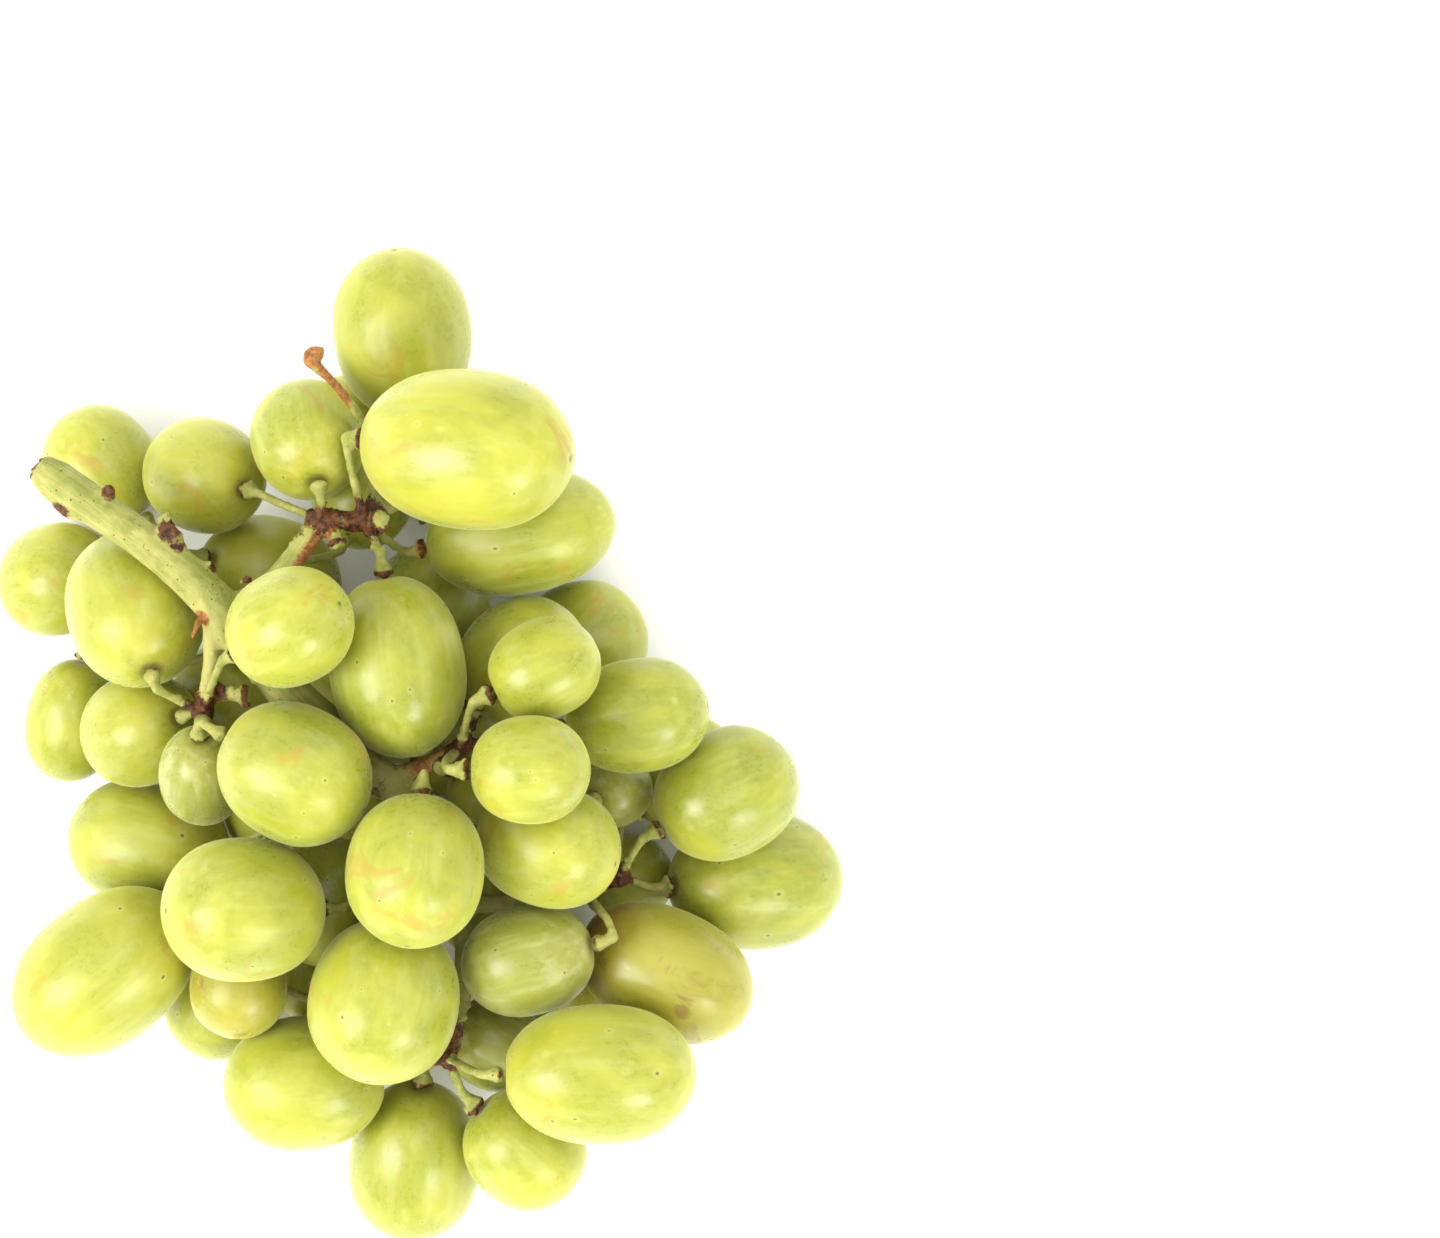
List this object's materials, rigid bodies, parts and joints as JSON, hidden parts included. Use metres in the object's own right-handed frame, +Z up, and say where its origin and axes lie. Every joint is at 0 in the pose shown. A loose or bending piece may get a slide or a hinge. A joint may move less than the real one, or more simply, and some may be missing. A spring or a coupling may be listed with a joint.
{
  "type": "bunch of green grapes",
  "caption": "Bunch of large oval green table grapes on one branched stem, lying on its side as picked, with the cut main stem at one end.",
  "frame": {"origin": "middle of the footprint's bounding box, on the surface that the bunch lies on", "axes": "+Z up out of the surface; +Y along the bunch's longest side, towards the end with the cut main stem; +X to the right as seen from above"},
  "size_m": [0.1301, 0.152, 0.0606],
  "materials": {
    "grape_skin": "yellow-green translucent grape skin with a thin pale bloom, fine speckles and soft highlights",
    "grape_skin_clear": "greyer, clearer green grape skin with pale veins showing through",
    "grape_skin_amber": "riper yellow-green grape skin, brownish on one side",
    "stem_skin": "matt pale green stem skin, brown at the joints and collars, with small dark specks"
  },
  "bodies": {
    "root": {"rachis": "stem_skin", "berry_01": "grape_skin", "berry_02": "grape_skin", "berry_03": "grape_skin", "berry_04": "grape_skin", "berry_05": "grape_skin", "berry_06": "grape_skin", "berry_07": "grape_skin", "berry_08": "grape_skin", "berry_09": "grape_skin", "berry_10": "grape_skin", "berry_11": "grape_skin", "berry_12": "grape_skin", "berry_13": "grape_skin", "berry_14": "grape_skin", "berry_15": "grape_skin", "berry_16": "grape_skin", "berry_17": "grape_skin", "berry_18": "grape_skin", "berry_19": "grape_skin", "berry_20": "grape_skin", "berry_21": "grape_skin", "berry_22": "grape_skin_clear", "berry_23": "grape_skin", "berry_24": "grape_skin", "berry_25": "grape_skin", "berry_26": "grape_skin_clear", "berry_27": "grape_skin", "berry_28": "grape_skin", "berry_29": "grape_skin", "berry_30": "grape_skin", "berry_31": "grape_skin_amber", "berry_32": "grape_skin", "berry_33": "grape_skin", "berry_34": "grape_skin", "berry_35": "grape_skin", "berry_36": "grape_skin", "berry_37": "grape_skin", "berry_38": "grape_skin_clear", "berry_39": "grape_skin_amber", "berry_40": "grape_skin", "berry_41": "grape_skin", "berry_42": "grape_skin", "berry_43": "grape_skin_clear", "berry_44": "grape_skin", "berry_45": "grape_skin", "berry_46": "grape_skin", "berry_47": "grape_skin", "berry_48": "grape_skin", "berry_49": "grape_skin", "berry_50": "grape_skin", "berry_51": "grape_skin", "berry_52": "grape_skin", "berry_53": "grape_skin", "berry_54": "grape_skin", "berry_55": "grape_skin", "berry_56": "grape_skin", "berry_57": "grape_skin"}
  },
  "joints": []
}
